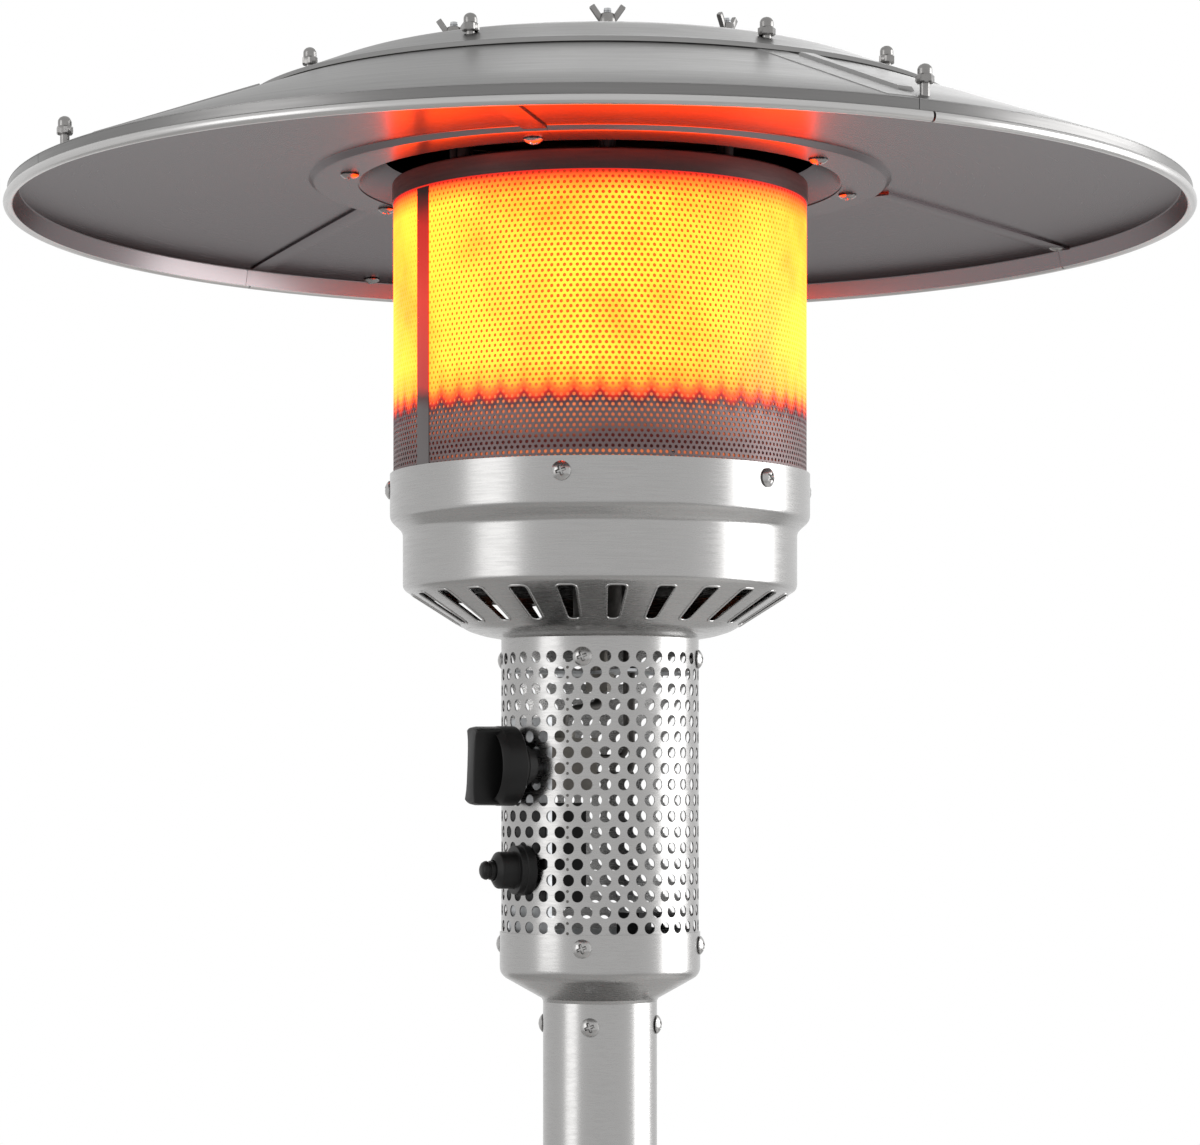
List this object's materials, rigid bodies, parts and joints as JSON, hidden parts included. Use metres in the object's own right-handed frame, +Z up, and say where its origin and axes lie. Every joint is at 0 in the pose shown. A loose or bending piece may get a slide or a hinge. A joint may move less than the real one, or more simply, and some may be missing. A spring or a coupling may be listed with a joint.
{
  "type": "patio heater",
  "caption": "Free-standing gas patio heater with a round double-skin reflector hood, glowing perforated emitter, slotted bowl, perforated control shield and a lift-up tank housing.",
  "frame": {"origin": "On the floor, on the axis of the post, in the middle of the base.", "axes": "+Z up along the post. -Y is the front that the picture shows, with the knob towards -X. The wheels are at the back, at +Y, with their axle along X."},
  "size_m": [0.8128, 0.8127, 2.2195],
  "materials": {
    "brushed_steel": "brushed round the axis, stainless steel",
    "hood_steel": "brushed stainless steel sheet",
    "lining_steel": "brushed stainless steel sheet, satin",
    "screen_steel": "perforated stainless steel, heat tinted",
    "hot_steel": "sheet that glows orange red when lit",
    "dark_steel": "oxidised steel",
    "zinc_plate": "zinc plated steel",
    "bright_screws": "bright plated fasteners",
    "black_plastic": "black moulded plastic, satin",
    "brass": "machined brass and copper",
    "base_paint": "dark grey powder coat",
    "ballast_iron": "rough casting",
    "wheel_rubber": "black moulded wheel"
  },
  "bodies": {
    "stand": {"base_plate": "base_paint", "base_ballast": "ballast_iron", "post_leg_rear": "base_paint", "post_leg_left": "base_paint", "post_leg_right": "base_paint", "base_bolts": "bright_screws", "wheel_bracket": "base_paint", "wheel_axle": "zinc_plate", "axle_caps": "black_plastic", "post": "brushed_steel", "head_cup": "brushed_steel", "perforated_shield": "brushed_steel", "head_screws": "bright_screws", "valve_bracket": "zinc_plate", "gas_valve": "brass", "valve_bonnet": "dark_steel", "igniter_body": "black_plastic", "igniter_collar": "black_plastic", "igniter_box": "black_plastic", "gas_inlet": "brass", "tilt_switch": "black_plastic", "supply_tube": "zinc_plate", "injector": "brass", "injector_cross": "zinc_plate", "mixer_tube": "dark_steel", "burner_bowl": "brushed_steel", "burner_plate": "dark_steel", "burner_drum": "dark_steel", "inner_emitter": "hot_steel", "emitter_screen": "screen_steel", "emitter_cap": "screen_steel", "pilot_burner": "zinc_plate", "spark_electrode": "zinc_plate", "thermocouple": "zinc_plate", "lead_tubes": "brass", "lining_panel_1": "lining_steel", "lining_panel_2": "lining_steel", "lining_panel_3": "lining_steel", "lining_ring": "lining_steel", "hood_panel_1": "hood_steel", "hood_panel_2": "hood_steel", "hood_panel_3": "hood_steel", "hood_panel_4": "hood_steel", "crown_plate": "hood_steel", "reflector_screws": "bright_screws", "cap_nuts": "bright_screws", "rim_trim": "hood_steel", "reflector_studs": "zinc_plate", "stud_spacers": "zinc_plate", "wing_nuts": "bright_screws"},
    "valve_plug": {"valve_rotor": "brass"},
    "knob": {"valve_stem": "brass", "control_knob": "black_plastic"},
    "igniter_push": {"igniter_button": "black_plastic"},
    "housing": {"tank_housing": "brushed_steel", "housing_cover": "brushed_steel", "neck_collar": "black_plastic", "cover_screws": "bright_screws"},
    "wheel_l": {"wheel_left": "wheel_rubber"},
    "wheel_r": {"wheel_right": "wheel_rubber"}
  },
  "joints": [
    {"name": "valve_turn", "type": "hinge", "parent": "stand", "child": "valve_plug", "pos_m": [-0.05224, -0.04384, 1.725], "axis": [-0.9135, -0.4067, 0], "range_deg": [0, 210]},
    {"name": "knob_press", "type": "slide", "parent": "valve_plug", "child": "knob", "axis": [0.9135, 0.4067, 0], "range_m": [0, 0.003], "stiffness_N_per_m": 900, "springref_m": -0.003},
    {"name": "igniter_press", "type": "slide", "parent": "stand", "child": "igniter_push", "axis": [0.9135, 0.4067, 0], "range_m": [0, 0.005], "stiffness_N_per_m": 700, "springref_m": -0.003},
    {"name": "housing_lift", "type": "slide", "parent": "stand", "child": "housing", "axis": [0, 0, 1], "range_m": [0, 0.48]},
    {"name": "wheel_left_spin", "type": "hinge", "parent": "stand", "child": "wheel_l", "pos_m": [-0.062, 0.24, 0.0485], "axis": [1, 0, 0], "continuous": true},
    {"name": "wheel_right_spin", "type": "hinge", "parent": "stand", "child": "wheel_r", "pos_m": [0.062, 0.24, 0.0485], "axis": [1, 0, 0], "continuous": true}
  ]
}
